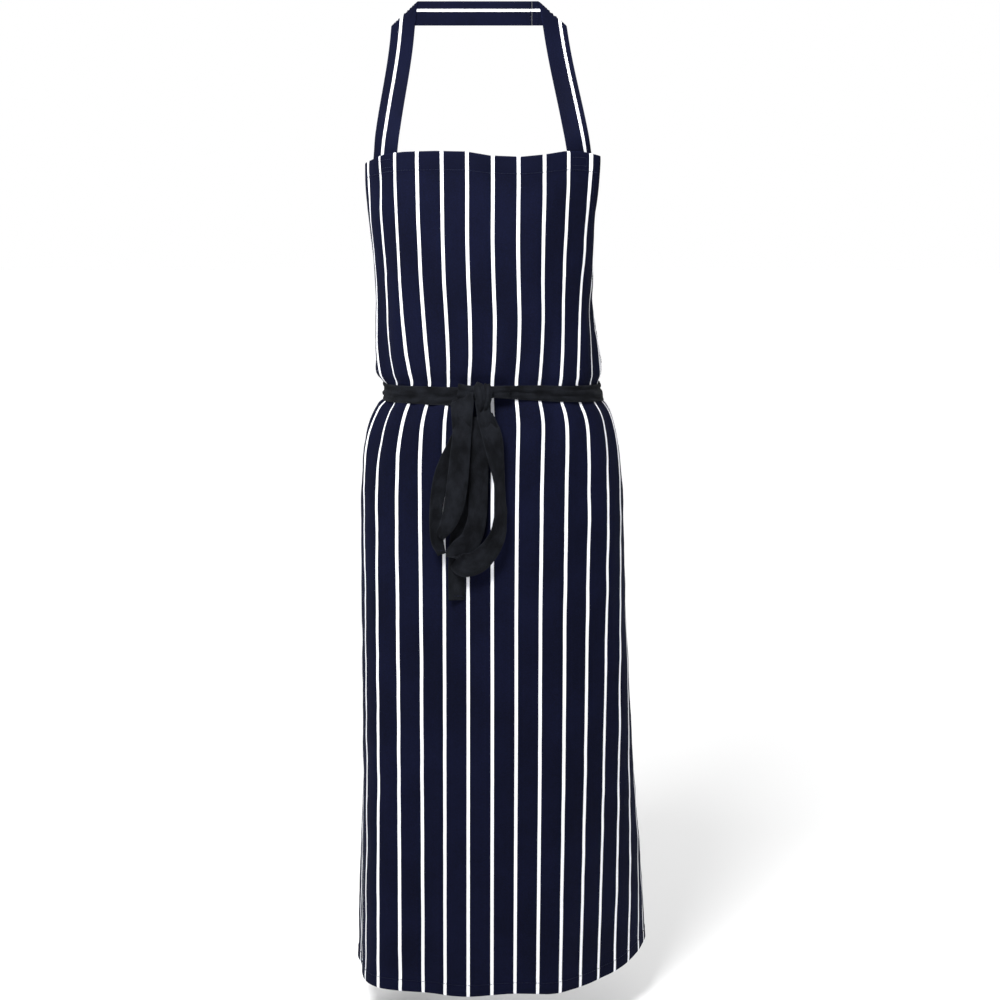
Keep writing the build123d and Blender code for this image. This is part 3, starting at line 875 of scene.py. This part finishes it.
def waist_band(arcs, outs, drops, widths, seed):
    """The part of a tie that goes round the waist, given at a few arcs."""
    fine = np.linspace(arcs[0], arcs[-1], 230)
    order = np.argsort(arcs)
    def at(values):
        return np.interp(fine, np.array(arcs)[order], np.array(values, float)[order])
    s = np.abs(fine - fine[0])
    s, q = np.meshgrid(s, TAPE_COLUMNS, indexing="ij")
    half = at(widths)[:, None] / 2
    b = q * half
    drop = at(drops)[:, None] + 0.5 * np.sin(s / 31 + seed) + b
    creases = 1.0 * np.sin(q * 6.2 + s / 27 + seed) * (1 - q * q) + 0.5 * np.sin(q * 11 - s / 15) * (1 - q * q)
    creases = creases + 0.8 * waves(s, b * 2.5, seed, 8, 12, 46) - 0.8 * q * q
    grid = on_form(drop, fine[:, None] + 0 * b, at(outs)[:, None] + creases)
    cut = np.stack([b, s, half - np.abs(b)], axis=-1)
    thick = TAPE_HALF_THICK * np.sqrt(np.clip(1 - np.abs(q) ** 10, 0.08, 1))
    return grid, thick, cut


KNOT_ARC = (KNOT_LOW[0] + KNOT_HIGH[0]) / 2
KNOT_Z = (KNOT_LOW[2] + KNOT_HIGH[2]) / 2
TIE_FEET = {-1: float(arc_of(-318.0, 266.0)), 1: float(arc_of(318.0, 266.0))}

# The drops and widths of each tie at the same places as its arcs, below: from its sewn
# corner round the back to the knot. Each tie ends on the other half of the front.
TIE_DROPS = {-1: (267, 267, 266, 266, 266, 261, 260, 259.5), 1: (267, 267, 266, 266, 266, 263.5, 264.5, 264)}
TIE_WIDTHS = {-1: (20, 20, 20, 20, 20, 17.5, 14.5, 12), 1: (20, 20, 20, 20, 20, 20, 20.5, 19)}

for name, side, far_out, body_seed in (("left", -1, OVER, 3), ("right", 1, UNDER, 8)):
    start = TIE_FEET[side]
    end = KNOT_ARC - side * 2 + side * ROUND
    middle = (start + end) / 2
    arcs = [
        start - side * 30, start, start + side * 40, middle,
        end - side * 145, end - side * 60, end - side * 20, end,
    ]
    outs = [2.4, 2.6, far_out, far_out, 3.8, 3.4, 3.6, 4.5]
    grid, thick, cut = waist_band(arcs, outs, TIE_DROPS[side], TIE_WIDTHS[side], body_seed)
    band = add_sheet(f"waist_tie_{name}_tape", grid, thick, TAPE, cut)
    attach(band, "bib")
    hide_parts(f"waist_tie_{name}")
    corner_u = np.linspace(side * 318, side * 345, 60)
    tack = cloth_stitches(f"tie_bartack_{name}_stitches", corner_u, np.full(60, 266.0), 3.2)
    add_seam(tack, f"tie_bartack_{name}", "bib")

# --------------------------------------------------------------------------------- bow
TAIL_RIGHT = [
    (-16, -155.5, -447, 1, 0, 0, 21), (-24, -155.6, -500, 1, 0, 0, 21), (-33, -156.0, -560, 1, 0.05, 0, 20),
    (-37.5, -156.6, -610, 1, -0.05, 0, 18.5), (-38, -157.4, -640, 1, 0.1, 0, 18), (-38, -156.8, -655, 1, 0.25, 0, 18),
]
TAIL_LEFT = [
    (-20, -157.4, -448, 1, 0, 0.1, 21), (-37, -157.6, -478, 1, 0.1, 0.2, 20), (-54, -158.2, -515, 1, 0.2, 0.1, 19),
    (-60, -158.6, -545, 1, 0.15, 0, 16), (-61, -159.0, -572, 1, 0.05, -0.1, 14.5), (-59, -160.0, -590, 0.85, 0.4, -0.3, 15),
    (-55, -161.6, -602, 0.6, 0.7, -0.4, 15),
]
LOOP_LEFT = [
    (-24, -160.0, -447, 1, 0, 0.15, 20), (-31, -159.6, -480, 1, 0.05, 0.1, 20), (-37, -159.8, -525, 1, 0.1, -0.1, 20),
    (-43, -160.4, -556, 0.93, 0.1, -0.35, 18), (-51, -161.4, -573, 0.78, 0.1, -0.6, 14), (-56.5, -163.0, -581, 0.7, 0, -0.7, 12),
    (-54.5, -165.2, -578, 0.72, 0, -0.68, 13), (-48, -167.0, -568, 0.8, 0, -0.6, 17), (-41, -167.8, -548, 0.95, -0.05, -0.3, 21),
    (-36.5, -167.8, -520, 1, -0.1, -0.12, 22.5), (-33, -166.6, -485, 1, 0.05, -0.02, 22.5), (-31, -164.8, -460, 1, 0, 0, 22),
    (-31, -163.4, -445, 1, 0, 0, 22),
]
LOOP_RIGHT = [
    (-6, -161, -445, 1, 0, 0.2, 19), (1.5, -165, -466, 0.95, 0.3, 0.1, 22.5), (6.5, -167.5, -494, 0.78, 0.6, 0.05, 21),
    (10.5, -169, -528, 0.58, 0.8, -0.1, 19.5), (11, -169.5, -558, 0.68, 0.65, -0.3, 21),
    (6, -169.5, -583, 0.72, 0.4, -0.55, 23), (-5, -169.3, -600, 0.55, 0.2, -0.8, 25),
    (-18, -168.6, -610.5, 0.32, 0.1, -0.94, 26), (-31, -166.8, -612, 0.15, 0, -0.98, 26),
    (-38.5, -163.6, -606, 0.3, 0, -0.95, 25), (-33, -161.3, -597, 0.5, 0, -0.85, 25),
    (-24, -160.8, -588, 0.75, 0, -0.65, 24), (-16, -160.2, -568, 0.95, 0, -0.3, 22.5), (-13.5, -160, -540, 1, 0, -0.05, 22),
    (-12, -160, -495, 1, 0, 0, 20), (-10, -160.5, -447, 1, 0, 0, 17),
]
add_tape("tie_tail_right_tape", "tails", "tie_tail_right", TAIL_RIGHT, 110, 41, 212, crumple=0.7, curl=0.8)
add_tape("tie_tail_left_tape", "tails", "tie_tail_left", TAIL_LEFT, 100, 47, 175, crumple=0.6, curl=1.4)
add_tape("bow_loop_left_tape", "loop_left", "bow_loop_left", LOOP_LEFT, 190, 53, 275, crumple=0.8, curl=1.1)
add_tape("bow_loop_right_tape", "loop_right", "bow_loop_right", LOOP_RIGHT, 230, 59, 380, crumple=0.75, curl=0.9)

KNOT_WRAPS = (
    # two turns pulled tight over the middle of the knot
    ([(-14, -155, -411, 0.9, 0, 0.3, 11), (-13.5, -161, -412.5, 0.9, 0, 0.3, 12), (-11, -165.2, -420, 0.95, 0, 0.2, 12.5),
      (-9.5, -166.2, -429, 1, 0, 0, 12), (-9.5, -163, -438.5, 1, 0, -0.1, 11.5), (-10, -157, -443, 1, 0, 0, 10)], 1.3, 1.0, -2.2),
    ([(-2, -154, -411.5, 0.9, 0, -0.35, 9), (-2.5, -159.5, -412.5, 0.9, 0, -0.35, 10), (-2.5, -163.4, -420, 0.9, 0, -0.4, 10.5),
      (-4, -164.2, -430, 0.9, 0, -0.3, 10), (-6.5, -161, -440, 0.95, 0, -0.2, 10), (-8, -156, -445, 1, 0, 0, 9)], 1.2, 1.0, -2.2),
    # the left band's end, folded over and turned down into the left loop
    ([(-30, -154.5, -424.5, 0.71, 0, 0.71, 29), (-30.5, -159.5, -430, 0.8, 0, 0.6, 26.5),
      (-31, -163.3, -438, 0.93, 0, 0.36, 24), (-31, -165.0, -448, 1, 0, 0.1, 22.6), (-31, -163.2, -462, 1, 0, 0, 22)], 0.9, 0.3, 1.1),
    # the crumpled end of the left band, between its fold and the knot
    ([(-36, -152.5, -420, 0, 0, 1, 19), (-26, -156.0, -420.5, 0, 0, 1, 17), (-18, -159, -421, 0.1, 0, 1, 15),
      (-11, -160, -423, 0.2, 0, 1, 13)], 1.0, 0.9, -1.0),
    # the thin twisted start of the right band
    ([(22, -151.0, -420, 0, 0, 1, 14.5), (11, -154.6, -419.8, 0, 0.2, 1, 13.5), (3, -157, -420, 0, 0.3, 1, 12.5),
      (-4, -160.5, -421, 0.2, 0.2, 1, 12)], 0.7, 0.9, -1.4),
    # the start of the right loop, under the turns
    ([(-11, -160.5, -427, 1, 0, 0, 13), (-8, -163.2, -438, 1, 0, 0.2, 15.5), (-5, -164.2, -449, 1, 0.1, 0.2, 19),
      (0.5, -162.9, -462, 1, 0.2, 0.1, 21.5)], 0.8, 0.5, 0.9),
)


def make_knot():
    """The knot: short lengths of the two ties, pulled tight over each other."""
    points, faces, cuts = [], [], []
    count = 0
    for k, (stations, crumple, rope, curl) in enumerate(KNOT_WRAPS):
        grid, thick, cut = tape_grid(stations, 34, 70 + 5 * k, crumple, curl, rope)
        points.append(layered(grid, thick))
        cuts.append(np.concatenate([cut.reshape(-1, 3)] * 2))
        part = closed_faces(*grid.shape[:2])
        first = points[-1][part[:, 0]]
        middle = points[-1].mean(axis=0)
        cross = np.cross(points[-1][part[:, 1]] - first, points[-1][part[:, 2]] - first)
        if ((first - middle) * cross).sum() < 0:
            part = part[:, ::-1]
        faces.append(part + count)
        count += len(points[-1])
    return add_mesh("bow_knot_wraps", np.concatenate(points), np.concatenate(faces), TAPE, np.concatenate(cuts))


knot = make_knot()
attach(knot, "bib")
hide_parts("bow_knot")

for name, stations, node in (("right", TAIL_RIGHT, "tail_seam_right"), ("left", TAIL_LEFT, "tail_seam_left")):
    x, y, z, _, _, _, width = stations[-1]
    reach = width / 2 - 1.5
    row = [((x - reach, y - 1.1, z + 5), (x + reach, y - 1.1, z + 5))]
    add_seam(straight_stitches(f"tail_hem_stitches_{name}", row, (0.0, -1.0, 0.0)), node, "tails")


# ------------------------------------------------------------------ stage, light, camera
def pale(name, colour, roughness):
    n = Nodes(name)
    n.shader.inputs["Base Color"].default_value = colour
    n.shader.inputs["Roughness"].default_value = roughness
    n.shader.inputs["Specular IOR Level"].default_value = 0.1
    # Painted light: an emission that is faint near the middle of the floor and stronger further off, so the far floor
    # matches the white surroundings.
    n.shader.inputs["Emission Color"].default_value = (1.0, 1.0, 1.0, 1.0)
    away = n.add("ShaderNodeVectorMath", operation="LENGTH")
    n.put(away.inputs[0], n.add("ShaderNodeTexCoord").outputs["Object"])
    n.put(n.shader.inputs["Emission Strength"], n.ramp(away.outputs["Value"], 1.5, 4.5, 0.05, 0.42))
    return n.material


def make_floor():
    """A wide pale floor a little below the hem. It glows, faintly near the middle and more further off: painted light.
    """
    size, level = 30.0, (HEM_Z - 60) * MM
    mesh = bpy.data.meshes.new("floor")
    corners = [(-size, -size, level), (size, -size, level), (size, size, level), (-size, size, level)]
    mesh.from_pydata(corners, [], [(0, 1, 2, 3)])
    mesh.materials.append(pale("floor_pale_painted_glow", (0.82, 0.82, 0.82, 1.0), 0.9))
    floor = bpy.data.objects.new("floor", mesh)
    bpy.context.scene.collection.objects.link(floor)


def area_light(name, place, aim, size, power, colour=(1.0, 1.0, 1.0)):
    data = bpy.data.lights.new(name, "AREA")
    data.shape = "DISK"
    data.size = size
    data.energy = power
    data.color = colour
    light = bpy.data.objects.new(name, data)
    light.location = place
    aim_at = Vector(aim) - Vector(place)
    light.rotation_euler = aim_at.to_track_quat("-Z", "Y").to_euler()
    bpy.context.scene.collection.objects.link(light)


make_floor()
area_light("key", (-0.45, -1.15, 0.75), (0.0, -0.1, -0.3), 0.6, 48.0)
area_light("fill", (1.6, -2.0, 0.2), (0.0, -0.1, -0.6), 1.8, 3.0)
area_light("back", (0.4, 2.2, 1.2), (0.0, 0.0, -0.5), 2.0, 24.0)

def make_studio():
    """White surroundings behind the apron, dimmer on the side of the camera."""
    world = bpy.data.worlds.new("studio")
    world.use_nodes = True
    tree = world.node_tree
    split = tree.nodes.new("ShaderNodeSeparateXYZ")
    shade = tree.nodes.new("ShaderNodeMapRange")
    shade.interpolation_type = "SMOOTHSTEP"
    for socket, value in zip(shade.inputs[1:], (-0.3, 0.45, 0.5, 1.0)):
        socket.default_value = value
    tree.links.new(tree.nodes.new("ShaderNodeTexCoord").outputs["Generated"], split.inputs[0])
    tree.links.new(split.outputs["Y"], shade.inputs["Value"])
    background = tree.nodes["Background"]
    background.inputs["Color"].default_value = (1.0, 1.0, 1.0, 1.0)
    tree.links.new(shade.outputs[0], background.inputs["Strength"])
    bpy.context.scene.world = world


make_studio()
bpy.context.scene.view_settings.view_transform = "Standard"

camera_data = bpy.data.cameras.new("camera")
camera_data.sensor_width = 36.0
camera_data.lens = 64.8
camera = bpy.data.objects.new("camera", camera_data)
camera.location = (0.011, -2.145, -0.2256)
camera.rotation_euler = (math.radians(81), 0, 0)
bpy.context.scene.collection.objects.link(camera)
bpy.context.scene.camera = camera
